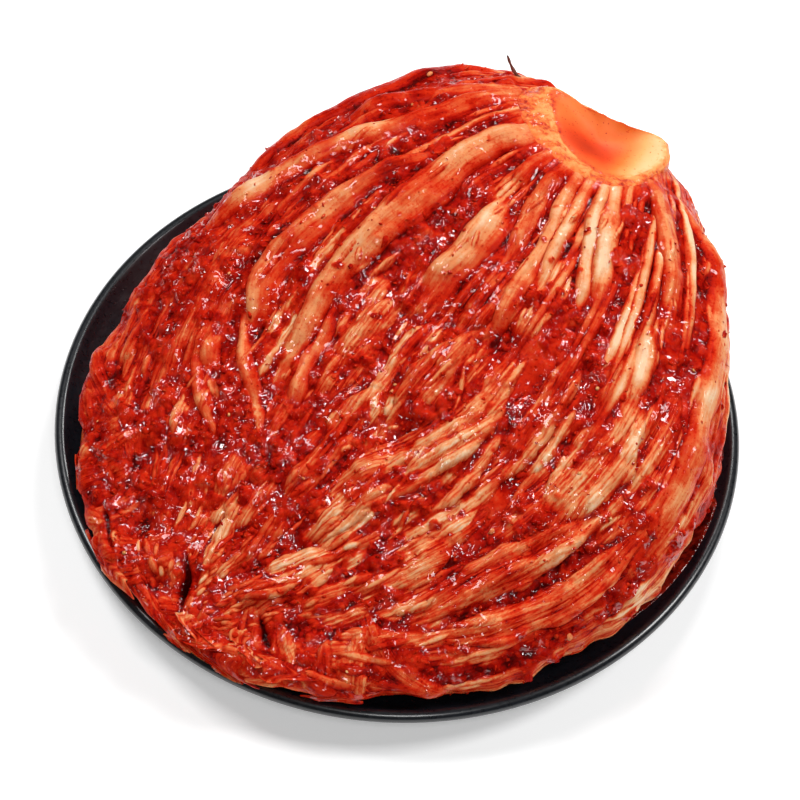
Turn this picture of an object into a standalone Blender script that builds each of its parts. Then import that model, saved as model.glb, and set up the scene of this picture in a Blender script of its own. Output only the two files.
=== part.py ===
"""Half a head of whole-cabbage kimchi, cut side up, lying fanned out on its round black plate.

The leaves run from the stump to the tail along the circles that join two poles, both on the
head's outline: lines that leave the stump close together, bulge apart over the middle and
gather again at the tail.  Each leaf is one closed strip between two such lines, as deep as the
head is there, and the leaf tips fill the lens that is left at the tail.

Units are metres, +Z is up.  The origin is the centre of the plate's foot, on the table.
"""
import math
import random

import bmesh
import bpy

# Plate
PLATE_RADIUS = 0.140
RIM_HEIGHT = 0.0213
WELL_HEIGHT = 0.0062
WELL_RADIUS = 0.095
WALL_CURVE = 8.6
PLATE_THICKNESS = 0.0049
FOOT_RADIUS = 0.080
PLATE_STEPS = 64

# Outline of the head seen from above: a mean radius and waves of (order, height, direction)
OUTLINE_RADIUS = 0.1333
OUTLINE_WAVES = ((1, 0.0075, 10.0), (2, 0.0114, 60.0), (3, 0.0052, 76.0), (4, 0.0017, -28.0))

# Height of the head over the table, at its crown and at its widest girth
HEAD_SPAN = 0.280
CROWN_AT_STUMP = 0.106
CROWN_AT_TAIL = 0.037
GIRTH_AT_STUMP = 0.038
GIRTH_AT_TAIL = 0.022
SHOULDER_POWER = 3.0

# The surface that the head lies on: just over the plate, and bowl-shaped past the rim too
REST_HEIGHT = 0.0067
REST_RADIUS = 0.0945
REST_CURVE = 9.0
EDGE_DEPTH = 0.004
EDGE_TUCK = 0.009
SIDE_TUCK = 0.002

# The fan of leaves: FAN_AXIS is the stump's direction, the fan lines run over +-90 degrees,
# and HEEL and TOE say how near the two poles the leaves start and end.  The outer leaves
# start nearer the pole, and so wrap round the stump.
FAN_AXIS = math.radians(52.0)
LEAF_COUNT = 16
LEAF_SHIFT = 0.28
LEAF_HEEL = 1.90
LEAF_WRAP = 0.75
LEAF_TOE = -1.30
LEAF_STATIONS = 14
LEAF_TOP_POINTS = 8
LEAF_GAP = 0.0005
END_GAP = 0.0009
RIB_LOW = 0.0030
RIB_HIGH = 0.0080
GROOVE = 0.0025
LEVEL_SPREAD = 0.0020
PLEAT_HEIGHT = 0.0012
PLEAT_WAVES = 2.5
HEEL_DIP = 0.004
HEEL_LENGTH = 0.15
RANDOM_SEED = 11

# Leaf tips at the tail
TIP_COUNT = 7
TIP_HALF_SPREAD = math.radians(56.0)
TIP_STATIONS = (0.0, 0.28, 0.54, 0.75, 0.90, 1.0)
TIP_SHORTEST = 0.93
TIP_RIB = 0.0045
TIP_THINNING = 0.5

# Stump, with the hollow cut face of the root end
FACE_CENTRE = (0.076, 0.097)
FACE_HALF_LENGTH = 0.028
FACE_HALF_WIDTH = 0.0135
FACE_TURN = math.radians(-23.0)
FACE_HEIGHT = 0.096
STUMP_HALF_LENGTH = 0.032
STUMP_HALF_WIDTH = 0.0185
STUMP_GAP = 0.0025
STUMP_POINTS = 36
# (height, how far it fills the room between the leaves) from the belly up to the shoulder
STUMP_SIDES = ((0.044, 0.96), (0.056, 0.90), (0.068, 0.55), (0.080, 0.15), (0.090, 0.0))
STUMP_BASE_SCALE = 0.78
# (scale of the cut face's rim, depth under it) from the rim into the hollow
FACE_STEPS = ((1.0, 0.0), (0.93, 0.0006), (0.74, 0.0045), (0.42, 0.0080))
FACE_DEPTH = 0.0088


def smooth(value):
    """Ease from 0 to 1."""
    value = min(max(value, 0.0), 1.0)
    return value * value * (3.0 - 2.0 * value)


def mix(start, end, share):
    return start + (end - start) * share


# ---------------------------------------------------------------- form of the head

def outline(angle):
    """Radius of the head's outline in a direction."""
    radius = OUTLINE_RADIUS
    for order, height, direction in OUTLINE_WAVES:
        radius += height * math.cos(order * (angle - math.radians(direction)))
    return radius


def rest_height(radius):
    """Underside of the head at a distance from the plate's centre."""
    return REST_HEIGHT + REST_CURVE * max(radius - REST_RADIUS, 0.0) ** 2


def plate_top(radius):
    return WELL_HEIGHT + WALL_CURVE * max(radius - WELL_RADIUS, 0.0) ** 2


def girth_height(x, y):
    """Height of the head's widest girth."""
    along = 0.5 - (x * math.cos(FAN_AXIS) + y * math.sin(FAN_AXIS)) / HEAD_SPAN
    girth = mix(GIRTH_AT_STUMP, GIRTH_AT_TAIL, smooth(along))
    return max(girth, rest_height(math.hypot(x, y)) + EDGE_DEPTH)


def dome_height(x, y):
    """Height of the smooth head, without its ribs and grooves."""
    along = 0.5 - (x * math.cos(FAN_AXIS) + y * math.sin(FAN_AXIS)) / HEAD_SPAN
    crown = mix(CROWN_AT_STUMP, CROWN_AT_TAIL, smooth(along - 0.03))
    girth = girth_height(x, y)
    share = min(math.hypot(x, y) / outline(math.atan2(y, x)), 1.0)
    shoulder = (1.0 - share ** SHOULDER_POWER) ** (1.0 / SHOULDER_POWER)
    return girth + max(crown - girth, 0.0) * shoulder


def from_disc(across, up):
    """Point of the head for a point of the unit disc whose stump pole is at (1, 0)."""
    angle = math.atan2(up, across) + FAN_AXIS
    share = math.hypot(across, up)
    radius = share * mix(OUTLINE_RADIUS, outline(angle), share ** 2)
    return radius * math.cos(angle), radius * math.sin(angle)


def fan_point(line, reach):
    """Point on a fan line: line is +-90 degrees at the outline, reach falls from stump to tail."""
    scale = math.cosh(reach) + math.cos(line)
    return from_disc(math.sinh(reach) / scale, math.sin(line) / scale)


def heel_reach(line):
    """Where a fan line starts: past the stump's side for the outermost lines."""
    return LEAF_HEEL + LEAF_WRAP * smooth(abs(line) / math.radians(36.0) - 1.5)


def fan_gap(line, reach, gap):
    """Change of line or reach that moves a fan point by gap."""
    return gap * (math.cosh(reach) + math.cos(line)) / OUTLINE_RADIUS


def tucked(x, y, distance):
    """The point moved towards the plate's centre."""
    share = 1.0 - distance / math.hypot(x, y)
    return x * share, y * share


# ---------------------------------------------------------------- bodies

def add_object(name, mesh, material, collection):
    thing = bpy.data.objects.new(name, mesh)
    thing.data.materials.append(material)
    collection.objects.link(thing)
    return thing


def loft(name, rings, material, collection):
    """One closed body through rings of equally many points, capped at both ends."""
    mesh = bpy.data.meshes.new(name)
    body = bmesh.new()
    loops = [[body.verts.new(point) for point in ring] for ring in rings]
    count = len(rings[0])
    for here, there in zip(loops, loops[1:]):
        for k in range(count):
            after = (k + 1) % count
            body.faces.new((here[k], here[after], there[after], there[k]))
    for end in (loops[0], loops[-1]):
        body.faces.new(end)
    bmesh.ops.recalc_face_normals(body, faces=body.faces)
    body.to_mesh(mesh)
    body.free()
    mesh.shade_smooth()
    mesh.set_sharp_from_angle(angle=math.radians(55.0))
    return add_object(name, mesh, material, collection)


def make_material(name, colour, roughness):
    material = bpy.data.materials.new(name)
    material.use_nodes = True
    shader = material.node_tree.nodes["Principled BSDF"]
    shader.inputs["Base Color"].default_value = (*colour, 1.0)
    shader.inputs["Roughness"].default_value = roughness
    shader.inputs["Metallic"].default_value = 0.0
    material.diffuse_color = (*colour, 1.0)
    return material


# ---------------------------------------------------------------- plate

def plate_profile():
    """Half section of the plate, from the middle of its well over the rim to its foot."""
    points = [(0.0, WELL_HEIGHT), (0.05, WELL_HEIGHT)]
    for step in range(6):
        radius = mix(WELL_RADIUS, PLATE_RADIUS - 0.0055, step / 5)
        points.append((radius, plate_top(radius)))
    points.append((PLATE_RADIUS - 0.0026, RIM_HEIGHT))
    points.append((PLATE_RADIUS - 0.0007, RIM_HEIGHT - 0.0007))
    points.append((PLATE_RADIUS, RIM_HEIGHT - 0.0025))
    points.append((PLATE_RADIUS - 0.0012, RIM_HEIGHT - 0.0050))
    for step in range(4):
        radius = mix(PLATE_RADIUS - 0.0070, FOOT_RADIUS + 0.010, step / 3)
        points.append((radius, plate_top(radius) - PLATE_THICKNESS))
    points.append((FOOT_RADIUS + 0.0015, WELL_HEIGHT - PLATE_THICKNESS))
    points.append((FOOT_RADIUS, 0.0))
    points.append((0.0, 0.0))
    return points


def make_plate(material, collection):
    points = [(radius, 0.0, height) for radius, height in plate_profile()]
    edges = [(k, k + 1) for k in range(len(points) - 1)]
    mesh = bpy.data.meshes.new("plate")
    mesh.from_pydata(points, edges, [])
    plate = add_object("plate", mesh, material, collection)
    screw = plate.modifiers.new("turn", "SCREW")
    screw.axis = "Z"
    screw.steps = PLATE_STEPS
    screw.render_steps = PLATE_STEPS
    screw.use_merge_vertices = True
    screw.merge_threshold = 0.00005
    screw.use_smooth_shade = True
    return plate


# ---------------------------------------------------------------- leaves

def leaf_relief(across, along, rib, level):
    """Height of a leaf over the dome: a rounded rib that fades into pleats towards the tail."""
    hump = 1.0 - abs(across) ** 2.4
    relief = level + (rib + GROOVE) * hump * mix(1.0, 0.6, along) - GROOVE
    pleats = PLEAT_HEIGHT * math.cos(across * PLEAT_WAVES * math.pi) * hump
    relief += pleats * smooth(2.0 * along - 0.6)
    heel = smooth(along / HEEL_LENGTH)
    return relief * heel - HEEL_DIP * (1.0 - heel)


def leaf_ring(left, right, along, rib, level):
    """Closed section of one leaf: its top from left to right, then its underside back."""
    at_left_edge = left < -0.49 * math.pi
    at_right_edge = right > 0.49 * math.pi
    top = []
    for step in range(LEAF_TOP_POINTS):
        share = step / (LEAF_TOP_POINTS - 1)
        if at_left_edge:
            share = share ** 2
        if at_right_edge:
            share = 1.0 - (1.0 - share) ** 2
        low_reach = mix(heel_reach(left), LEAF_TOE, along)
        high_reach = mix(heel_reach(right), LEAF_TOE, along)
        low = left if at_left_edge else left + fan_gap(left, low_reach, LEAF_GAP / 2)
        high = right if at_right_edge else right - fan_gap(right, high_reach, LEAF_GAP / 2)
        line = mix(low, high, share)
        x, y = fan_point(line, mix(heel_reach(line), LEAF_TOE, along))
        lift = leaf_relief(2.0 * share - 1.0, along, rib, level)
        if at_left_edge:
            lift *= smooth(3.0 * share)
        if at_right_edge:
            lift *= smooth(3.0 * (1.0 - share))
        top.append((x, y, dome_height(x, y) + lift))
    first, last = top[0], top[-1]
    under = []
    for corner, at_edge in ((last, at_right_edge), (first, at_left_edge)):
        x, y = corner[:2]
        if at_edge:
            side = tucked(x, y, SIDE_TUCK)
            foot = tucked(x, y, EDGE_TUCK)
            foot_height = rest_height(math.hypot(*foot))
            under.append([(*side, mix(foot_height, corner[2], 0.5)), (*foot, foot_height)])
        else:
            under.append([(x, y, rest_height(math.hypot(x, y)))])
    right_under, left_under = under
    middle_x = (right_under[-1][0] + left_under[-1][0]) / 2
    middle_y = (right_under[-1][1] + left_under[-1][1]) / 2
    middle = (middle_x, middle_y, rest_height(math.hypot(middle_x, middle_y)))
    return top + right_under + [middle] + left_under[::-1]


def make_leaves(collection):
    chance = random.Random(RANDOM_SEED)
    shifts = [chance.uniform(-LEAF_SHIFT, LEAF_SHIFT) for _ in range(LEAF_COUNT + 1)]
    shifts[0] = shifts[-1] = 0.0
    lines = [math.pi * ((k + shift) / LEAF_COUNT - 0.5) for k, shift in enumerate(shifts)]
    for number in range(LEAF_COUNT):
        left, right = lines[number], lines[number + 1]
        rib = chance.uniform(RIB_LOW, RIB_HIGH)
        level = chance.uniform(-LEVEL_SPREAD, LEVEL_SPREAD)
        rings = []
        for station in range(LEAF_STATIONS + 1):
            rings.append(leaf_ring(left, right, station / LEAF_STATIONS, rib, level))
        redness = chance.uniform(0.0, 1.0)
        colour = (0.62, mix(0.22, 0.10, redness), mix(0.09, 0.04, redness))
        name = f"leaf_{number + 1:02d}"
        material = make_material(name + "_flesh", colour, 0.35)
        loft(name, rings, material, collection)


# ---------------------------------------------------------------- leaf tips

def tail_point(spread, share):
    """Point of the tail's lens, from the circle where the leaves end (0) to the outline (1)."""
    reach = LEAF_TOE - fan_gap(0.0, LEAF_TOE, END_GAP)
    centre = 1.0 / math.tanh(reach)
    radius = 1.0 / abs(math.sinh(reach))
    inner = (centre + radius * math.cos(spread), radius * math.sin(spread))
    corner_spread = math.atan2(1.0 / math.cosh(reach), math.tanh(reach) - centre)
    corner_angle = math.atan2(1.0 / math.cosh(reach), -math.tanh(reach))
    turn = spread / corner_spread * corner_angle
    outer = (-math.cos(turn), math.sin(turn))
    return from_disc(mix(inner[0], outer[0], share), mix(inner[1], outer[1], share))


def tip_ring(left, right, share, rib):
    gap = LEAF_GAP / 2 / (OUTLINE_RADIUS / abs(math.sinh(LEAF_TOE)))
    top = []
    for step in range(LEAF_TOP_POINTS):
        part = step / (LEAF_TOP_POINTS - 1)
        x, y = tail_point(mix(left + gap, right - gap, part), share)
        hump = 1.0 - abs(2.0 * part - 1.0) ** 2.2
        floor = rest_height(math.hypot(x, y))
        thinning = TIP_THINNING * smooth(2.0 * share - 1.0)
        height = dome_height(x, y) + (rib * hump - GROOVE)
        top.append((x, y, floor + (height - floor) * (1.0 - thinning)))
    under = []
    for x, y, height in (top[-1], top[LEAF_TOP_POINTS // 2], top[0]):
        under.append((x, y, rest_height(math.hypot(x, y))))
    return top + under


def make_tips(collection):
    chance = random.Random(RANDOM_SEED + 1)
    for number in range(TIP_COUNT):
        left = mix(-TIP_HALF_SPREAD, TIP_HALF_SPREAD, number / TIP_COUNT)
        right = mix(-TIP_HALF_SPREAD, TIP_HALF_SPREAD, (number + 1) / TIP_COUNT)
        length = chance.uniform(TIP_SHORTEST, 1.0)
        rib = chance.uniform(0.6, 1.2) * TIP_RIB
        rings = [tip_ring(left, right, share * length, rib) for share in TIP_STATIONS]
        colour = (0.55, chance.uniform(0.07, 0.14), 0.04)
        name = f"leaf_tip_{number + 1:02d}"
        material = make_material(name + "_flesh", colour, 0.35)
        loft(name, rings, material, collection)


# ---------------------------------------------------------------- stump

def stump_outline():
    """Plan of the stump's room: the curve where the leaves start, closed by the outline."""
    points = []
    for step in range(-22, 23):
        line = math.radians(4.0 * step)
        reach = heel_reach(line) + fan_gap(line, heel_reach(line), END_GAP)
        points.append(fan_point(line, reach))
    reach = heel_reach(math.pi / 2) + fan_gap(math.pi / 2, heel_reach(math.pi / 2), END_GAP)
    half_turn = math.atan2(1.0 / math.cosh(reach), math.tanh(reach))
    for step in range(25):
        angle = FAN_AXIS + mix(half_turn, -half_turn, step / 24)
        points.append((outline(angle) * math.cos(angle), outline(angle) * math.sin(angle)))
    return points


def ray_length(points, origin, angle):
    """Distance from an inner point to a closed outline in a direction."""
    across, up = math.cos(angle), math.sin(angle)
    nearest = None
    for k, start in enumerate(points):
        end = points[(k + 1) % len(points)]
        start_x, start_y = start[0] - origin[0], start[1] - origin[1]
        step_x, step_y = end[0] - start[0], end[1] - start[1]
        slope = across * step_y - up * step_x
        if abs(slope) < 1e-12:
            continue
        share = (up * start_x - across * start_y) / slope
        length = (start_x * step_y - start_y * step_x) / slope
        if 0.0 <= share <= 1.0 and length > 0.0:
            nearest = length if nearest is None else min(nearest, length)
    return nearest


def oval_reach(angle, half_length, half_width):
    """Radius of an oval that lies along the cut face."""
    turned = angle - FACE_TURN
    return 1.0 / math.hypot(math.cos(turned) / half_length, math.sin(turned) / half_width)


def make_stump(material, collection):
    room = stump_outline()
    centre_x, centre_y = FACE_CENTRE
    angles = [2.0 * math.pi * k / STUMP_POINTS for k in range(STUMP_POINTS)]

    def body_ring(scale, height, fullness):
        ring = []
        for angle in angles:
            widest = ray_length(room, FACE_CENTRE, angle) - STUMP_GAP
            oval = min(oval_reach(angle, STUMP_HALF_LENGTH, STUMP_HALF_WIDTH), widest)
            reach = scale * mix(oval, widest, fullness)
            x = centre_x + reach * math.cos(angle)
            y = centre_y + reach * math.sin(angle)
            ring.append((x, y, rest_height(math.hypot(x, y)) if height is None else height))
        return ring

    def face_ring(scale, depth):
        ring = []
        for angle in angles:
            reach = scale * oval_reach(angle, FACE_HALF_LENGTH, FACE_HALF_WIDTH)
            x = centre_x + reach * math.cos(angle)
            y = centre_y + reach * math.sin(angle)
            ring.append((x, y, FACE_HEIGHT - depth))
        return ring

    rings = [body_ring(share * STUMP_BASE_SCALE, None, 1.0) for share in (0.25, 1.0)]
    rings += [body_ring(1.0, height, fullness) for height, fullness in STUMP_SIDES]
    rings += [face_ring(scale, depth) for scale, depth in FACE_STEPS]
    rings.append(face_ring(0.12, FACE_DEPTH))
    return loft("stump", rings, material, collection)


def clear_scene():
    for thing in list(bpy.data.objects):
        bpy.data.objects.remove(thing, do_unlink=True)


def main():
    clear_scene()
    collection = bpy.data.collections.new("kimchi_on_plate")
    bpy.context.scene.collection.children.link(collection)
    make_plate(make_material("plate_glaze", (0.012, 0.012, 0.013), 0.28), collection)
    make_stump(make_material("stump_core", (0.80, 0.20, 0.05), 0.30), collection)
    make_leaves(collection)
    make_tips(collection)


main()
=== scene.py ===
"""Looks of a half head of whole-cabbage kimchi, cut side up on its round black plate.

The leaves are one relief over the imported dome. Every rib, blade and shred is painted as a
stroke into square fields of height and colour, in a flat chart of the dome, and the
seasoning paste then fills the valleys between them. A mesh that follows the leaves from the
stump to the tail lifts the relief along the dome's normals, and is cut into the CAD's leaves.
"""
from math import cos, pi, radians, sin

import bmesh
import bpy
import numpy as np
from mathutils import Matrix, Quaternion, Vector


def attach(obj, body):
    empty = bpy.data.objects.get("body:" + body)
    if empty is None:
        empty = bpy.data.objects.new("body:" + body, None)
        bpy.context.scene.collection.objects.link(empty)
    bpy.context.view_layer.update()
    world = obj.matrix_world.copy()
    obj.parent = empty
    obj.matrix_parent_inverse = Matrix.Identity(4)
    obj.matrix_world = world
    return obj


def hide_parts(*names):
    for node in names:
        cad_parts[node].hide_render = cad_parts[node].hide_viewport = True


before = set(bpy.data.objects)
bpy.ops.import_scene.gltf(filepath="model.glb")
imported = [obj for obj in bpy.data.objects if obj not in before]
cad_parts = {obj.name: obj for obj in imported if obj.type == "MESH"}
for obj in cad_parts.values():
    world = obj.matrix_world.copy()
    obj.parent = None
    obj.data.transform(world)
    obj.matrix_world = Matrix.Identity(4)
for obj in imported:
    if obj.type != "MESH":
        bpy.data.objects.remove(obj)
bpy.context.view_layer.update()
chance = np.random.default_rng(7)
between = chance.uniform

# ---- sizes that the part has too, in metres and radians

OUTLINE_RADIUS = 0.1333
# order, height and direction in degrees of each wave in the outline
OUTLINE_WAVES = ((1, 0.0075, 10.0), (2, 0.0114, 60.0), (3, 0.0052, 76.0), (4, 0.0017, -28.0))
HEAD_SPAN = 0.280
CROWN_AT_STUMP = 0.106
CROWN_AT_TAIL = 0.037
GIRTH_AT_STUMP = 0.038
GIRTH_AT_TAIL = 0.022
SHOULDER_POWER = 3.0
REST_HEIGHT = 0.0067
REST_RADIUS = 0.0945
REST_CURVE = 9.0
EDGE_DEPTH = 0.004
EDGE_TUCK = 0.009
FAN_AXIS = radians(52.0)
LEAF_COUNT = 16
LEAF_TOE = -1.30
TIP_COUNT = 7
PLATE_RADIUS = 0.140
RIM_HEIGHT = 0.0213
WELL_HEIGHT = 0.0062
WELL_RADIUS = 0.095
WALL_CURVE = 8.6
PLATE_THICKNESS = 0.0049
FOOT_RADIUS = 0.080
FACE_CENTRE = (0.076, 0.097)
FACE_TURN = radians(-23.0)

# ---- sizes of the fine surface

CELL = 0.00032
CHART_REACH = 0.225
CHART_ANGLES = 720
CHART_STEPS = 240
SIDE_LINE = 0.30
HEEL_LINE = 2.25
HEEL_SIDE = 2.75
LAST_REACH = -6.0
LINE_STEP = 0.00048
STATION_STEP = 0.00060
SIDE_ROWS = 14
BLADE_COUNT = 230
TAIL_BLADES = 44
SIDE_RIBS = 64
THREADS = 170
BITS = 11000
GROUND_PALENESS = 0.15
CRINKLE_SIZE = 0.0011
STROKE_STEP = 0.00021
CELLS_PER_STEP = 2.2
PATH_STEPS = 60
CORNER_STEPS = 22
SHORTEST_STROKE = 12
DRAPE_STEPS = 16
LEVEL_STEPS = 24
RAGGED_SPAN = 0.006
SWAY_SPAN = 0.020
GRAIN_SPAN = 40.0
BULGE = 0.00032
RIB_RISE = 1.05
STROKE_BLUR = 0.00026
TREND_SPAN = 0.012
TREND_SHARE = 0.8
PILE_HEIGHT = 0.0010
PASTE_SPAN = 0.0045
PASTE_LEVEL = -0.0002
PASTE_SOFTNESS = 0.00025
ROOT_ZONE = 0.009
ROOT_HEIGHT = 0.0006
ROOT_CALM = 0.30
BEHIND_DROP = 0.0060
FILM_BLUR = 0.0013
FILM_SHARE = 0.6
FILM_STEEP = 0.75
BACK_ROOM = 0.003
SINK_START = 0.0010
SINK_SPAN = 0.0045
EDGE_CALM = 0.55
EDGE_DROP = 0.0012
NOTCH_TURN = radians(251.5)
NOTCH_SPAN = radians(4.0)
NOTCH_DEPTH = 0.0065


def clipped(value):
    return np.clip(value, 0.0, 1.0)


def smooth(value):
    value = clipped(value)
    return value * value * (3.0 - 2.0 * value)


def mix(start, end, share):
    return start + (end - start) * share


def length_of(vectors):
    return np.linalg.norm(vectors, axis=-1, keepdims=True)


def unit(vectors):
    return vectors / (length_of(vectors) + 1e-12)


def joined(*parts):
    """Vectors from their parts, which are spread to one shape."""
    return np.stack(np.broadcast_arrays(*parts), axis=-1)


def around(angle, radius, height):
    """Points at an angle and a distance around the plate's axis."""
    return joined(radius * np.cos(angle), radius * np.sin(angle), height)


def run_length(steps):
    """Distance from the first point of a line to each of its points."""
    return np.concatenate([[0.0], np.cumsum(steps)])


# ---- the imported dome

def outline(angle):
    radius = OUTLINE_RADIUS
    for order, height, direction in OUTLINE_WAVES:
        radius = radius + height * np.cos(order * (angle - radians(direction)))
    return radius


def rest_height(radius):
    return REST_HEIGHT + REST_CURVE * np.maximum(radius - REST_RADIUS, 0.0) ** 2


def plate_top(radius):
    return WELL_HEIGHT + WALL_CURVE * np.maximum(radius - WELL_RADIUS, 0.0) ** 2


def dome_height(angle, radius):
    """Height of the dome's top over a plan point."""
    along = 0.5 - radius * np.cos(angle - FAN_AXIS) / HEAD_SPAN
    girth = mix(GIRTH_AT_STUMP, GIRTH_AT_TAIL, smooth(along))
    girth = np.maximum(girth, rest_height(radius) + EDGE_DEPTH)
    crown = mix(CROWN_AT_STUMP, CROWN_AT_TAIL, smooth(along - 0.03))
    rise = np.maximum(crown - girth, 0.0)
    return girth + rise * np.cbrt(np.maximum(1.0 - (radius / outline(angle)) ** SHOULDER_POWER, 0.0))


def shell(angle, place):
    """Point of the dome at a plan angle; place is 0 at the crown, 1 at the outline, 2 at the plate."""
    share = 1.0 - (1.0 - np.minimum(place, 1.0)) ** 3
    side = clipped(place - 1.0)
    radius = share * mix(OUTLINE_RADIUS, outline(angle), share ** 2)
    tucked = radius - EDGE_TUCK * side ** 2
    height = mix(dome_height(angle, radius), rest_height(tucked), side)
    return around(angle, tucked, height)


def fan(line, reach):
    """Plan angle and place on the dome of a leaf line (past a right angle: down the side)."""
    flat = np.clip(line, -pi / 2, pi / 2)
    scale = np.cosh(reach) + np.cos(flat)
    across = np.sinh(reach) / scale
    up = np.sin(flat) / scale
    inside = np.maximum(1.0 - np.hypot(across, up), 0.0)
    past = np.maximum(np.abs(line) - pi / 2, 0.0) / SIDE_LINE
    return np.arctan2(up, across) + FAN_AXIS, 1.0 - np.cbrt(inside) + past


class Chart:
    """Flat map of the dome: true distances from the crown along every direction."""

    def __init__(self):
        angle = np.linspace(0.0, 2.0 * pi, CHART_ANGLES + 1)
        place = np.linspace(0.0, 2.0, CHART_STEPS + 1)
        points = shell(*np.meshgrid(angle, place, indexing="ij"))
        steps = np.linalg.norm(np.diff(points, axis=1), axis=2)
        self.length = np.zeros((CHART_ANGLES + 1, CHART_STEPS + 1))
        self.length[:, 1:] = np.cumsum(steps, axis=1)

    def flat(self, angle, place):
        row = np.mod(angle, 2.0 * pi) * CHART_ANGLES / (2.0 * pi)
        column = np.clip(place, 0.0, 1.9999) * CHART_STEPS / 2.0
        distance = bilinear(self.length, row, column)
        return distance * np.cos(angle), distance * np.sin(angle)

    def point(self, line, reach):
        return self.flat(*fan(line, reach))


def bilinear(field, row, column):
    low_row = np.clip(np.floor(row).astype(int), 0, field.shape[0] - 2)
    low_column = np.clip(np.floor(column).astype(int), 0, field.shape[1] - 2)
    down = row - low_row
    right = column - low_column
    first = mix(field[low_row, low_column], field[low_row, low_column + 1], right)
    second = mix(field[low_row + 1, low_column], field[low_row + 1, low_column + 1], right)
    return mix(first, second, down)


# ---- painting the relief

def blurred(field, sigma):
    """Gaussian blur of a square field; sigma in metres."""
    down = np.exp(-2.0 * (pi * sigma * np.fft.fftfreq(field.shape[0], CELL)) ** 2)
    right = np.exp(-2.0 * (pi * sigma * np.fft.rfftfreq(field.shape[1], CELL)) ** 2)
    return np.fft.irfft2(np.fft.rfft2(field) * down[:, None] * right[None, :], field.shape)


def running_mean(values, radius, axis):
    """Mean over a window along one axis, with the ends held."""
    if radius < 1:
        return values
    padding = [(0, 0)] * values.ndim
    padding[axis] = (radius + 1, radius)
    total = np.cumsum(np.pad(values, padding, mode="edge"), axis=axis)
    count = values.shape[axis]
    high = np.take(total, range(2 * radius + 1, 2 * radius + 1 + count), axis=axis)
    low = np.take(total, range(count), axis=axis)
    return (high - low) / (2 * radius + 1)


def wander(count, step, scale):
    """Smooth random curve of unit size: count values that are a step apart."""
    knots = max(int(count * step / scale) + 3, 4)
    curve = np.interp(np.linspace(0, knots - 1, count), np.arange(knots), chance.normal(size=knots))
    return running_mean(curve, int(0.4 * scale / step), 0)


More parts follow.
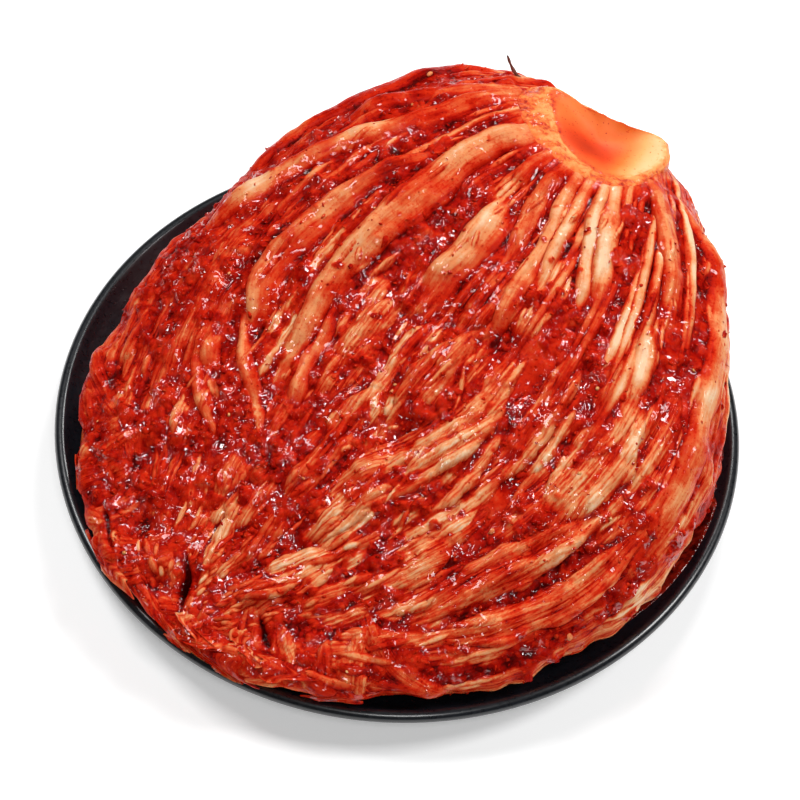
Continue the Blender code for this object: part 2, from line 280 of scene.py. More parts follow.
class Relief:
    """Square fields over the chart: height, paleness, paste, and each point's place on its leaf."""

    def __init__(self, chart):
        self.chart = chart
        self.half = int(CHART_REACH / CELL)
        self.rows, self.columns = np.ogrid[-self.half:self.half + 1, -self.half:self.half + 1]
        shape = (self.rows.size, self.columns.size)
        self.height, self.paste, self.along, self.across, self.bare = np.zeros((5, *shape))
        self.pale = np.full(shape, GROUND_PALENESS)
        self.fibre = np.ones(shape)
        self.crinkle = self.cloud(CRINKLE_SIZE)

    def cloud(self, scale):
        """Random field of unit size with spots of about that scale."""
        field = blurred(chance.normal(size=self.height.shape), scale)
        return field / field.std()

    def cell(self, x, y):
        row = np.clip((x / CELL + self.half + 0.5).astype(int), 0, 2 * self.half)
        column = np.clip((y / CELL + self.half + 0.5).astype(int), 0, 2 * self.half)
        return row, column

    def sample(self, field, x, y):
        return bilinear(field, x / CELL + self.half, y / CELL + self.half)

    def toward_stump(self):
        """Where each cell lies along the head: 1 at the stump, -1 at the tail."""
        return (self.rows * cos(FAN_AXIS) + self.columns * sin(FAN_AXIS)) * CELL / OUTLINE_RADIUS

    def toward_right(self):
        return (self.rows * sin(FAN_AXIS) - self.columns * cos(FAN_AXIS)) * CELL / OUTLINE_RADIUS

    def path(self, stops, polar):
        """Evenly spaced chart points through (line in degrees, reach) stops, with soft corners."""
        stops = np.array(stops, float)
        spread = np.linspace(0, len(stops) - 1, PATH_STEPS * len(stops))
        first = np.radians(np.interp(spread, np.arange(len(stops)), stops[:, 0]))
        second = np.interp(spread, np.arange(len(stops)), stops[:, 1])
        x, y = self.chart.flat(first, second) if polar else self.chart.point(first, second)
        x = running_mean(x, CORNER_STEPS, 0)
        y = running_mean(y, CORNER_STEPS, 0)
        distance = run_length(np.hypot(np.diff(x), np.diff(y)))
        even = np.arange(0.0, distance[-1], STROKE_STEP)
        return np.interp(even, distance, x), np.interp(even, distance, y), even

    def band(self, x, y, half, place, shift=0.0):
        """Cells of a band along a path, and how far each lies from the path."""
        turn_x = np.gradient(x)
        turn_y = np.gradient(y)
        step = np.hypot(turn_x, turn_y) + 1e-12
        offset = half * place + shift
        row, column = self.cell(x[:, None] + (-turn_y / step)[:, None] * offset,
                                y[:, None] + (turn_x / step)[:, None] * offset)
        return row, column, offset

    def lay(self, stops, width, form, stiffness=0.3, taper=0.25, sway=0.0, fibre=1.0, bare=0.0,
            polar=False, rooted=False):
        """Paints a stroke; form gives its height and paleness from the places along and across.

        Its stops are (line, reach), or (plan angle, place) where it is polar. A rooted stroke starts at
        its full width and height."""
        x, y, along = self.path(stops, polar)
        if len(along) < SHORTEST_STROKE:
            return
        share = along / along[-1]
        widths = np.interp(share, np.linspace(0, 1, len(width)), width)
        head = 1.0 if rooted else clipped(share / taper)
        ends = np.sqrt(head * clipped((1.0 - share) / taper))
        ragged = 1.0 + 0.10 * wander(len(along), STROKE_STEP, RAGGED_SPAN)
        half = (0.5 * widths * mix(0.15, 1.0, ends) * ragged)[:, None]
        shift = sway * wander(len(along), STROKE_STEP, SWAY_SPAN)
        count = max(int(CELLS_PER_STEP * half.max() / STROKE_STEP), 6)
        place = np.linspace(-1.0, 1.0, count)[None, :]
        row, column, offset = self.band(x, y, half, place, shift[:, None])
        under = self.height[row, column]
        drape = running_mean(running_mean(under, DRAPE_STEPS, 0), max(count // 6, 1), 1)
        level = running_mean(under.mean(axis=1, keepdims=True), LEVEL_STEPS, 0)
        drape = mix(drape, level, stiffness)
        rise, pale = form(along[:, None], place, half, self.crinkle[row, column])
        fade = smooth(4.0 * (1.0 - share))[:, None] * (1.0 if rooted else smooth(4.0 * share)[:, None])
        top = drape + rise * mix(0.08, 1.0, fade)
        self.height[row, column] = np.maximum(top, under - 0.0010)
        self.pale[row, column] = mix(self.pale[row, column], pale, mix(0.10, 1.0, fade))
        seed = between(0.0, GRAIN_SPAN)
        self.along[row, column] = along[:, None] + seed
        self.across[row, column] = offset + seed
        self.fibre[row, column] = fibre
        self.bare[row, column] = bare

    def carve(self, stops, width, depth):
        """Presses a narrow crevice along polar stops, paints shade into it by halving its paleness, and
        thins its paste.
        """
        x, y, along = self.path(stops, True)
        swell = np.sin(pi * along / along[-1])[:, None]
        place = np.linspace(-1.0, 1.0, int(CELLS_PER_STEP * width / STROKE_STEP))[None, :]
        row, column, _ = self.band(x, y, 0.5 * width * np.sqrt(swell), place)
        self.height[row, column] = self.height[row, column] - depth * (1.0 - place ** 2) * swell
        # Painted shade in the crevice: its paleness is halved.
        self.pale[row, column] *= 0.5
        self.paste[row, column] *= 0.4


def rib_form(rise, paleness, skirt=0.0, flutes=0.05):
    """Flat rounded rib; a skirt (0 to 1) moves its back to the left and lets its right side fade away."""
    crest = -0.75 * skirt
    phase = between(0.0, 2.0 * pi, 3)

    def form(along, place, half, crinkle):
        left = clipped((crest - place) / (crest + 1.0))
        right = clipped((place - crest) / (1.0 - crest))
        back = np.where(place < crest, (1.0 - left ** 3.2) ** 0.6,
                        mix((1.0 - right ** 3.2) ** 0.6, (1.0 - right) ** 1.3, skirt))
        offset = place * half
        lines = np.cos(offset / 0.00042 + 1.5 * np.sin(along / 0.013) + 0.6 * crinkle)
        dent = np.sin(along / 0.0105 + phase[0] + 2.0 * place) * np.sin(along / 0.0062 + phase[1])
        tone = 1.0 + 0.20 * np.sin(along / 0.009 + phase[1]) * np.sin(along / 0.021 + phase[2])
        height = rise * back * (1.0 + 0.10 * dent) + flutes * 0.0012 * lines + 0.00010 * crinkle
        skirted = np.exp(-(right / 0.45) ** 2) * (1.0 - 0.4 * left ** 4)
        fall = mix(np.exp(-(place / 0.72) ** 4), skirted, skirt)
        return height, paleness * tone * (0.30 + 0.70 * fall) + 0.04 * lines
    return form


def blade_form(rise, paleness, pitch=0.0018, depth=0.0003, tilt=0.0):
    """Thin leaf with broad folds, and pleats and fine veins along it; tilt lifts one of its edges."""
    phase = between(0.0, 2.0 * pi, 4)
    fold_pitch = between(0.0060, 0.0120)

    def form(along, place, half, crinkle):
        offset = place * half
        wobble = 0.9 * np.sin(along / 0.012 + phase[0]) + 0.5 * np.sin(along / 0.0052 + phase[1])
        spread = offset * 2.0 * pi / pitch
        pleat = (0.5 + 0.5 * np.cos(spread + wobble + 0.7 * crinkle)) ** 2
        vein = (0.5 + 0.5 * np.cos(1.73 * spread - 1.3 * wobble + phase[2] + 0.9 * crinkle)) ** 2
        bend = phase[3] + 0.9 * np.sin(along / 0.019 + phase[2]) + 0.35 * np.sin(along / 0.0068 + phase[0])
        fold = np.cos(offset * 2.0 * pi / fold_pitch + bend)
        edge = np.sqrt(clipped(1.0 - np.abs(place) ** 8))
        height = rise * edge * (1.0 + tilt * place + 0.35 * fold) + depth * (pleat + 0.6 * vein)
        height = height + 0.00020 * crinkle
        # Paleness rises on the crests of the pleats, veins and folds and on the lifted edge, and falls in
        # the valleys: partly the veins' own pale colour, partly painted light and painted shade.
        pale = paleness * (0.38 + 0.36 * pleat + 0.26 * vein + 0.16 * fold + 0.12 * tilt * place)
        return height, pale + 0.04 * crinkle
    return form


def build_relief(chart):
    relief = Relief(chart)
    relief.height += 0.0006 * relief.cloud(0.0050) + 0.0003 * relief.cloud(0.0022)
    lay_blades(relief)
    lay_tail_blades(relief)
    lay_side_ribs(relief)
    lay_shreds(relief, 70, (-2.9, 1.1))
    for stops, width, rise, paleness, skirt in RIBS:
        wide = [value * (1.0 + skirt) for value in width]
        form = rib_form(RIB_RISE * rise, paleness, skirt)
        line, reach = stops[0]
        relief.lay(stops, wide, form, stiffness=0.75, taper=0.12, fibre=0.35, bare=1.0,
                   rooted=reach > 1.6 and abs(line) < 65)
    for stops, width, rise, paleness in BLADES:
        relief.lay(stops, width, blade_form(rise, paleness, tilt=0.4), stiffness=0.4, taper=0.3, bare=0.6)
    lay_shreds(relief, 40, (-2.6, 0.6))
    lay_threads(relief)
    relief.height = blurred(relief.height, STROKE_BLUR)
    relief.height = relief.height - TREND_SHARE * blurred(relief.height, TREND_SPAN) + PILE_HEIGHT
    relief.pale *= 0.92 + 0.20 * relief.cloud(0.0060)
    relief.pale *= 1.0 + 0.26 * np.clip(relief.toward_right(), -0.6, 0.8)
    add_paste(relief)
    for stops, width, depth in CREVICES:
        relief.carve(stops, width, depth)
    return relief


# Ribs that stand out: stops as (line in degrees, reach), widths, rise and paleness.
RIBS = (
    (((60, 1.74), (66, 1.15), (72, 0.88), (76, 0.60)), (0.005, 0.007, 0.005), 0.0035, 0.45, 0.3),
    (((57, 1.74), (57, 1.15), (60, 0.85), (65, 0.58)), (0.005, 0.007, 0.004), 0.0030, 0.50, 0.5),
    (((80, 1.85), (83, 1.30), (80, 0.80), (84, 0.37), (85, 0.00)), (0.006, 0.008, 0.006), 0.0040, 0.42, 0.2),
    (((61, 0.92), (64, 0.70), (69, 0.46), (76, 0.13), (82, -0.10)),
     (0.005, 0.0085, 0.006), 0.0045, 0.90, 0.4),
    (((37, 1.05), (44, 0.72), (48, 0.48), (50, 0.20), (51, -0.02), (51, -0.15), (46, -0.30), (42, -0.50)),
     (0.004, 0.006, 0.008, 0.009, 0.005), 0.0048, 0.82, 0.8),
    (((25, 1.78), (28, 1.48), (31, 1.28), (32, 1.05), (30, 0.74), (31, 0.40), (32, 0.05), (29, -0.24),
      (26, -0.62), (22, -0.82)), (0.007, 0.010, 0.0125, 0.010, 0.008, 0.008, 0.006), 0.0060, 0.95, 0.40),
    (((27, -0.02), (22, -0.24), (21, -0.45), (15, -0.74)), (0.003, 0.005, 0.004), 0.0030, 0.70, 0.5),
    (((6, 1.10), (1, 0.82), (0, 0.60), (2, 0.42), (1, 0.20)), (0.006, 0.0095, 0.008), 0.0045, 0.85, 0.7),
    (((8, 1.70), (8, 1.40), (7, 1.15)), (0.004, 0.006, 0.004), 0.0030, 0.60, 0.4),
    (((-5, 1.70), (-6, 1.27), (-10, 0.98), (-13, 0.68)), (0.004, 0.006, 0.004), 0.0036, 0.70, 0.5),
    (((-13, 1.85), (-16, 1.35), (-22, 0.98), (-22, 0.69), (-24, 0.39), (-27, 0.18)),
     (0.003, 0.0045, 0.005, 0.003), 0.0034, 0.78, 0.5),
    (((-20, 1.90), (-25, 1.20), (-26, 0.90), (-29, 0.60)), (0.003, 0.0042, 0.003), 0.0030, 0.75, 0.4),
    (((-28, 1.95), (-34, 1.28), (-39, 0.97), (-46, 0.60)), (0.003, 0.0055, 0.005), 0.0036, 0.92, 0.2),
    (((-34, 1.95), (-41, 1.28), (-46, 0.97), (-50, 0.66)), (0.003, 0.0070, 0.005), 0.0036, 0.88, 0.3),
    (((-57, 1.95), (-64, 1.50), (-70, 1.10), (-72, 0.75)), (0.004, 0.007, 0.005), 0.0036, 0.62, 0.5),
    (((-66, 2.00), (-80, 1.66), (-85, 1.30), (-86, 0.95), (-84, 0.55), (-85, 0.20), (-87, -0.05)),
     (0.005, 0.009, 0.010, 0.009, 0.006), 0.0042, 0.66, 0.3),
    (((-66, 0.72), (-68, 0.55), (-69, 0.36)), (0.003, 0.006, 0.004), 0.0020, 0.90, 0.4),
    (((57, -0.50), (51, -0.72), (43, -0.90)), (0.004, 0.008, 0.005), 0.0034, 0.82, 0.4),
    (((52, -0.33), (42, -0.56), (30, -0.75), (19, -0.97)), (0.003, 0.005, 0.003), 0.0028, 0.82, 0.5),
    (((59, -0.62), (52, -0.81), (42, -0.97), (31, -1.16)), (0.003, 0.005, 0.003), 0.0030, 0.66, 0.5),
)

# Blades that stand out, in the same way.
BLADES = (
    (((-36, 0.14), (-35, -0.12), (-31, -0.42), (-23, -0.70), (-19, -1.00)),
     (0.008, 0.016, 0.012), 0.0026, 0.72),
    (((-43, 0.00), (-39, -0.30), (-34, -0.62), (-30, -1.02)), (0.008, 0.016, 0.010), 0.0026, 0.78),
    (((-77, -0.05), (-74, -0.30), (-72, -0.57), (-74, -0.85)), (0.008, 0.018, 0.010), 0.0028, 0.80),
    (((-84, 0.05), (-84, -0.28), (-82, -0.60), (-79, -0.88)), (0.008, 0.016, 0.010), 0.0026, 0.66),
)

# Dark gaps between the blades at the tail, pressed in and darkened with painted shade: polar stops, width
# and depth.
CREVICES = (
    (((226, 0.44), (230, 0.49), (232, 0.57), (234, 0.66)), 0.0065, 0.0065),
    (((246, 0.47), (248, 0.53), (251, 0.60)), 0.0055, 0.0060),
    (((208, 0.60), (214, 0.66), (219, 0.74)), 0.0045, 0.0045),
)

# Places where the paste lies thick (or thin): line, reach, radius and extra depth.
POOLS = (
    (62, 1.20, 0.012, 0.0010), (50, 0.70, 0.010, 0.0006), (22, 0.75, 0.010, 0.0008),
    (14, 0.30, 0.014, 0.0008), (38, -0.80, 0.016, 0.0010), (26, -1.20, 0.018, 0.0012),
    (-50, 1.40, 0.006, 0.0030), (-54, 1.05, 0.007, 0.0030), (-14, 0.10, 0.010, 0.0010),
    (-56, 0.25, 0.014, 0.0008), (0, -0.90, 0.014, 0.0008), (-50, -0.90, 0.014, 0.0006),
    (72, -0.45, 0.014, 0.0008), (60, -1.00, 0.012, 0.0006), (-62, -0.35, 0.014, 0.0004),
    (45, -1.70, 0.020, 0.0010), (-15, -1.70, 0.018, 0.0008), (-55, -1.60, 0.016, 0.0006),
    (10, 1.30, 0.010, -0.0008), (-30, 1.10, 0.014, -0.0010), (-84, 0.60, 0.016, -0.0010),
    (-38, -0.40, 0.012, -0.0008), (-78, -0.50, 0.016, -0.0008),
    (-60, -0.75, 0.018, -0.0007), (-84, -1.10, 0.020, -0.0008),
)


def even_line(share):
    """Leaf line in degrees that splits the middle of the dome evenly; share runs -1 to 1."""
    return np.degrees(np.interp(share, LINE_SHARES, LINE_ANGLES))


def stroke_line(share, start, span, drift, steps):
    """Stops of a stroke that runs back over a span of reaches and drifts across the head."""
    return [(even_line(share + drift * step / steps), start - span * step / steps)
            for step in range(steps + 1)]


def random_blade(rises, pales):
    return blade_form(between(*rises), between(*pales), pitch=between(0.0015, 0.0024),
                      depth=between(0.00012, 0.00036), tilt=between(-0.9, 0.9))


def lay_blades(relief):
    for _ in range(BLADE_COUNT):
        share = between(-1.03, 1.03)
        start = between(-2.3, 1.0)
        span = between(0.45, 0.95)
        drift = chance.normal(0.0, 0.03 + 0.05 * smooth(-0.5 - start))
        shrink = 1.0 / np.cosh(0.75 * (start - span / 2))
        width = shrink * between(0.012, 0.028)
        form = random_blade((0.0010, 0.0021), (0.40, 0.95))
        stops = stroke_line(share, start, span, drift, 3)
        relief.lay(stops, (0.7 * width, width, 0.8 * width), form, stiffness=0.25, taper=0.35)


def lay_tail_blades(relief):
    """Blades that run out over the tail's edge instead of closing in on one point."""
    for _ in range(TAIL_BLADES):
        angle = between(190.0, 268.0)
        start = between(0.38, 0.72)
        finish = between(0.85, 1.35)
        drift = chance.normal(4.0, 9.0)
        stops = [(angle + drift * step / 3, mix(start, finish, step / 3)) for step in range(4)]
        width = between(0.005, 0.014)
        form = random_blade((0.0008, 0.0018), (0.35, 0.85))
        relief.lay(stops, (0.7 * width, width, 0.8 * width), form, stiffness=0.3, taper=0.3, polar=True)


def lay_side_ribs(relief):
    """Ribs low between the ones that stand out, from the stump to the middle."""
    for number in range(SIDE_RIBS):
        share = mix(-1.04, 1.04, (number + between(0.1, 0.9)) / SIDE_RIBS)
        start = between(2.2, 2.8)
        finish = between(-0.1, 1.1)
        stops = stroke_line(share, start, start - finish, chance.normal(0.0, 0.02), 4)
        width = between(0.0028, 0.0068)
        form = rib_form(between(0.0010, 0.0024), between(0.30, 1.00))
        relief.lay(stops, (0.5 * width, 0.8 * width, width, 0.7 * width), form, stiffness=0.5, fibre=0.5,
                   bare=0.3, rooted=True)


def lay_fine(relief, share, starts, spans, drift, widths, rises, pales, **settings):
    """Lays one thin rib without flutes; the pairs give the range of each of its measures."""
    start = between(*starts)
    stops = stroke_line(share, start, between(*spans), chance.normal(0.0, drift), 2)
    width = between(*widths)
    form = rib_form(between(*rises), between(*pales), flutes=0.0)
    relief.lay(stops, (0.5 * width, width, 0.4 * width), form, **settings)


def lay_threads(relief):
    """Thin pale fibres that lie on top of everything, most of them towards the right."""
    for _ in range(THREADS):
        lay_fine(relief, chance.triangular(-1.05, -0.6, 1.05), (-2.6, 1.4), (0.08, 0.30), 0.012,
                 (0.0010, 0.0022), (0.0006, 0.0011), (0.50, 0.90),
                 stiffness=0.0, sway=0.0008, fibre=0.3, bare=0.8)


def lay_shreds(relief, count, starts):
    for _ in range(count):
        lay_fine(relief, between(-1.05, 1.05), starts, (0.10, 0.42), 0.035,
                 (0.0013, 0.0038), (0.0007, 0.0017), (0.20, 0.70),
                 stiffness=0.1, sway=0.0010, fibre=0.5)


def add_paste(relief):
    """Fills the valleys with paste, then makes it lumpy."""
    level = blurred(relief.height, PASTE_SPAN) + PASTE_LEVEL
    level += 0.00050 * relief.cloud(0.0060) + 0.00035 * relief.cloud(0.0022) + 0.00016 * relief.cloud(0.0009)
    level -= 0.0008 * np.clip(relief.toward_right(), -0.3, 1.0) * smooth(0.6 + relief.toward_stump())
    level -= 0.0014 * blurred(relief.bare, 0.0006)
    for line, reach, radius, depth in POOLS:
        x, y = relief.chart.point(np.array(radians(line)), np.array(reach))
        distance = ((relief.rows * CELL - x) ** 2 + (relief.columns * CELL - y) ** 2) / radius ** 2
        level += depth * np.exp(-distance)
    depth = level - relief.height
    relief.paste = smooth(depth / 0.0007 + 0.35)
    filled = PASTE_SOFTNESS * np.logaddexp(0.0, np.clip(depth / PASTE_SOFTNESS, -30.0, 30.0))
    relief.height = relief.height + 0.80 * filled
    hills = np.maximum(relief.cloud(0.0019) + 0.2, 0.0) * 0.00065
    chunks = hills + np.abs(relief.cloud(0.0010)) * 0.00028
    bits = np.zeros(relief.height.shape)
    for _ in range(BITS):
        radius = 0.0007 + 0.0019 * chance.random() ** 2.0
        row, column = chance.integers(20, 2 * relief.half - 20, 2)
        if chance.random() > 0.04 + relief.paste[row, column]:
            continue
        reach = int(radius / CELL) + 1
        down = np.arange(-reach, reach + 1)[:, None] * CELL / radius
        turn = between(0.0, pi)
        long = cos(turn) * down + sin(turn) * down.T
        short = (cos(turn) * down.T - sin(turn) * down) / between(0.35, 1.0)
        top = np.sqrt(clipped(1.0 - (long ** 2 + short ** 2) ** 2))
        tilt = between(-0.7, 0.7, 2)
        bump = between(0.25, 0.50) * radius * top * (1.0 + tilt[0] * long + tilt[1] * short)
        window = bits[row - reach:row + reach + 1, column - reach:column + reach + 1]
        np.maximum(window, bump, out=window)
    coarse = smooth(0.5 + 0.6 * relief.cloud(0.0050))
    lumps = chunks * (0.08 + 1.4 * relief.paste * coarse) + bits * (0.8 + 0.25 * relief.crinkle)
    relief.height += blurred(lumps, 0.00028)
    relief.paste = clipped(relief.paste + 0.8 * smooth(bits / 0.0006))


# ---- the mesh that follows the leaves

def dome_run(line, reach):
    """Distance over the dome from the first to each of a row of points."""
    return run_length(np.linalg.norm(np.diff(shell(*fan(line, reach)), axis=0), axis=1))


def line_table():
    """Leaf lines against the share of the way across the dome at its middle."""
    inner = 0.5 * pi * (1.0 - (1.0 - np.linspace(0.0, 1.0, 1500)) ** 3)
    distance = dome_run(inner, np.zeros_like(inner))
    share = distance / distance[-1]
    shares = np.concatenate([[-1.25], -share[:0:-1], share, [1.25]])
    angles = np.concatenate([[-pi / 2 - SIDE_LINE], -inner[:0:-1], inner, [pi / 2 + SIDE_LINE]])
    return shares, angles, distance[-1]


def grid_lines():
    """Leaf lines of the mesh's rows, evenly apart over the dome and then down each side."""
    count = int(HALF_SPAN / LINE_STEP)
    inner = np.interp(np.linspace(-1.0, 1.0, 2 * count + 1), LINE_SHARES, LINE_ANGLES)
    side = pi / 2 + SIDE_LINE * np.linspace(0.0, 1.0, SIDE_ROWS + 1)[1:]
    return np.concatenate([-side[::-1], inner, side])


def grid_reaches():
    """Reaches of the mesh's columns, evenly apart from the tail to the heel."""
    fine = np.linspace(LAST_REACH, HEEL_LINE, 4000)
    distance = dome_run(np.zeros_like(fine), fine)
    even = np.linspace(0.0, distance[-1], int(distance[-1] / STATION_STEP))
    return np.interp(even, distance, fine)


def heel_reach(line):
    """Reach at which a leaf line ends under the stump."""
    return mix(HEEL_LINE, HEEL_SIDE, smooth(np.abs(line) / radians(36.0) - 1.5))


def edge_share(place):
    """How far a place lies along the last stretch before the outline, 0 to 1."""
    return smooth((place - 0.65) / 0.35)


def leaf_surface(relief):
    """Grid of points on the finished leaves, with normals and the fields at each point."""
    line, reach = np.meshgrid(grid_lines(), grid_reaches(), indexing="ij")
    heel = heel_reach(line)
    reach = np.where(reach > 1.0, 1.0 + (reach - 1.0) * (heel - 1.0) / (HEEL_LINE - 1.0), reach)
    angle, place = fan(line, reach)
    base = shell(angle, place)
    base[..., :2] *= 1.0 - (edge_dip(angle) * smooth((place - 0.6) / 0.4) / OUTLINE_RADIUS)[..., None]
    normal = unit(np.cross(np.gradient(base, axis=1), np.gradient(base, axis=0)))
    normal *= np.sign(normal[normal.shape[0] // 2, normal.shape[1] // 2, 2])
    x, y = relief.chart.point(line, reach)
    height = relief.sample(relief.height, x, y)
    height = height * (1.0 - EDGE_CALM * edge_share(place)) * (1.0 - smooth(place - 1.0))
    _, _, inside, behind = stump_place(base)
    near = smooth(1.0 + inside / ROOT_ZONE)
    height = mix(height, ROOT_HEIGHT + ROOT_CALM * height, near)
    height = mix(height, ROOT_CALM * height - BEHIND_DROP, behind * smooth((inside + 0.034) / 0.014))
    height = height - EDGE_DROP * edge_share(place)
    points = base + normal * height[..., None]
    slope = clipped_slope(base, height, 3.0)
    points = sunk(points - BULGE * slope)
    wet_height = FILM_SHARE * relief.sample(blurred(relief.height, FILM_BLUR), x, y)
    film = unit(normal - clipped_slope(base, wet_height, FILM_STEEP))
    return line, reach, points, normal, film, near, x, y


def edge_dip(angle):
    """How far the ragged outline draws in from the dome's, with one notch at the tail."""
    ragged = 0.0010 * np.sin(13.0 * angle + 2.0) + 0.0007 * np.sin(23.0 * angle)
    ragged = ragged + 0.0006 * np.sin(41.0 * angle + 1.0) + 0.0004 * np.sin(67.0 * angle)
    off = (np.mod(angle, 2.0 * pi) - NOTCH_TURN) / NOTCH_SPAN
    return ragged + 0.0010 + NOTCH_DEPTH * np.exp(-off ** 2)


def stump_place(points):
    """Direction and distance of points from the cut face's centre, in plan.

    With them comes how far the points lie inside the stump's outline, and how far behind it, 0 to 1."""
    x = points[..., 0] - FACE_CENTRE[0]
    y = points[..., 1] - FACE_CENTRE[1]
    facing = np.arctan2(y, x) - FACE_TURN
    distance = np.hypot(x, y)
    behind = smooth(2.0 * np.sin(facing) - 0.8)
    return facing, distance, face_radius(facing) + band_width(facing) - distance, behind


def sunk(points):
    """Moves the leaf points that lie below the stump down, out of its way."""
    facing, distance, inside, behind = stump_place(points)
    share = smooth((inside + BACK_ROOM * behind - SINK_START) / SINK_SPAN)
    level = rim_level(facing, distance) - SINK_DEPTH
    points[..., 2] = mix(points[..., 2], np.minimum(points[..., 2], level), share)
    return points


def clipped_slope(base, height, limit):
    """Uphill direction of the relief at each point, no longer than the limit."""
    along_line = np.gradient(base, axis=0)
    along_reach = np.gradient(base, axis=1)
    line_size = length_of(along_line) + 1e-5
    reach_size = length_of(along_reach) + 1e-5
    rise_line = np.gradient(height, axis=0)[..., None] / line_size
    rise_reach = np.gradient(height, axis=1)[..., None] / reach_size
    slope = along_line / line_size * rise_line + along_reach / reach_size * rise_reach
    return slope * np.minimum(1.0, limit / (length_of(slope) + 1e-9))


def add_piece(name, points, faces, material, replaced=(), slot=None, fields=None):
    """Makes a smooth mesh of points and faces, with vector fields for its material."""
    mesh = bpy.data.meshes.new(name)
    mesh.vertices.add(points.size // 3)
    mesh.vertices.foreach_set("co", np.asarray(points, np.float32).ravel())
    faces = np.asarray(faces, np.int32)
    corners = faces.shape[1]
    mesh.loops.add(faces.size)
    mesh.loops.foreach_set("vertex_index", faces.ravel())
    mesh.polygons.add(len(faces))
    mesh.polygons.foreach_set("loop_start", np.arange(0, faces.size, corners, dtype=np.int32))
    mesh.update(calc_edges=True)
    mesh.validate()
    mesh.shade_smooth()
    for field, values in (fields or {}).items():
        layer = mesh.attributes.new(field, "FLOAT_VECTOR", "POINT")
        layer.data.foreach_set("vector", np.asarray(values, np.float32).ravel())
    mesh.materials.append(material)
    piece = bpy.data.objects.new(name, mesh)
    bpy.context.scene.collection.objects.link(piece)
    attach(piece, "root")
    if replaced:
        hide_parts(*replaced)


def add_grid(name, points, material, turned=False, **settings):
    """Makes a mesh of rows of points; it is turned where its rows run the other way."""
    index = np.arange(points.size // 3).reshape(points.shape[:2])
    faces = np.stack([index[:-1, :-1], index[:-1, 1:], index[1:, 1:], index[1:, :-1]], -1).reshape(-1, 4)
    add_piece(name, points, faces[:, ::-1] if turned else faces, material, **settings)


def add_leaves(relief, material):
    """Cuts the one surface into the CAD's leaves and, past their toes, into its leaf tips."""
    line, reach, points, normal, film, near, x, y = leaf_surface(relief)
    # The third field of each look is painted shade: darker where the relief lies low in valleys and
    # crevices.
    pale, paste, painted_shade = (relief.sample(field, x, y) for field in (relief.pale, relief.paste, hollow_shade(relief)))
    look = joined(pale, paste, painted_shade)
    grown = joined(0.62 + 0.5 * (pale - 0.5), 0.5 * paste, 0.6 * painted_shade)
    look = mix(look, grown, near[..., None] * 0.85)
    grain = joined(*(relief.sample(field, x, y) for field in (relief.along, relief.across, relief.fibre)))
    toe = int(np.searchsorted(reach[0], LEAF_TOE))
    kinds = (("leaf", LEAF_COUNT, slice(toe, None)), ("leaf_tip", TIP_COUNT, slice(toe + 1)))
    for kind, count, columns in kinds:
        rows = [int(row) for row in np.linspace(0, len(line) - 1, count + 1)]
        for number in range(count):
            node = f"{kind}_{number + 1:02d}"
            part = (slice(rows[number], rows[number + 1] + 1), columns)
            add_grid(node + "_layers", points[part], material, replaced=(node,), slot="leaf_flesh",
                     fields={"look": look[part], "grain": grain[part], "film": film[part]})
    return points, normal, look, film


def hollow_shade(relief):
    """How deep each point lies below its surroundings, 0 to 1: painted shade that darkens the leaves'
    valleys and crevices.
    """
    small = clipped((blurred(relief.height, 0.0016) - relief.height) / 0.0016)
    large = clipped((blurred(relief.height, 0.0050) - relief.height) / 0.0030)
    return clipped(0.50 * small + 0.70 * large)


# ---- blade ends over the edge

END_COUNT = 12
END_STATIONS = 40
END_ACROSS = 13
# Ends that reach over the plate's rim: plan angle in degrees, start, finish, half width, lean.
FLAPS = (
    (245.0, 0.60, 1.36, 0.0085, 0.04),
    (262.0, 0.78, 1.30, 0.0050, 0.06),
    (234.0, 0.70, 1.24, 0.0056, 0.05),
)


def add_blade_ends(relief, material):
    """Ragged ends of blades that come over the dome's edge at the tail."""
    ends = [(radians(angle), *others) for angle, *others in FLAPS]
    for _ in range(END_COUNT):
        angle = FAN_AXIS + pi + chance.triangular(-0.7, 0.1, 0.9)
        start = between(0.50, 0.85)
        ends.append((angle, start, start + between(0.20, 0.34), between(0.0040, 0.0090),
                     chance.normal(0.0, 0.12)))
    ground = blurred(relief.height, 0.0025)
    made = [blade_end(relief, ground, *end) for end in ends]
    index = np.arange(END_STATIONS * 2 * END_ACROSS).reshape(END_STATIONS, -1)
    turned = np.roll(index, -1, axis=1)
    one = np.stack([index[:-1], turned[:-1], turned[1:], index[1:]], axis=-1).reshape(-1, 4)
    faces = np.concatenate([one + number * index.size for number in range(len(ends))])
    points, looks, grains, films = (np.concatenate(parts) for parts in zip(*made))
    add_piece("blade_ends", points, faces, material, slot="leaf_flesh",
              fields={"look": looks, "grain": grains, "film": films})


def closed_across(first, last, count):
    """Places across the top of a thin closed strip and back below it, and 1 where they are on top."""
    across = np.concatenate([np.linspace(first, last, count), np.linspace(last, first, count)])
    return across[None, :], np.repeat([1.0, 0.0], count)[None, :]


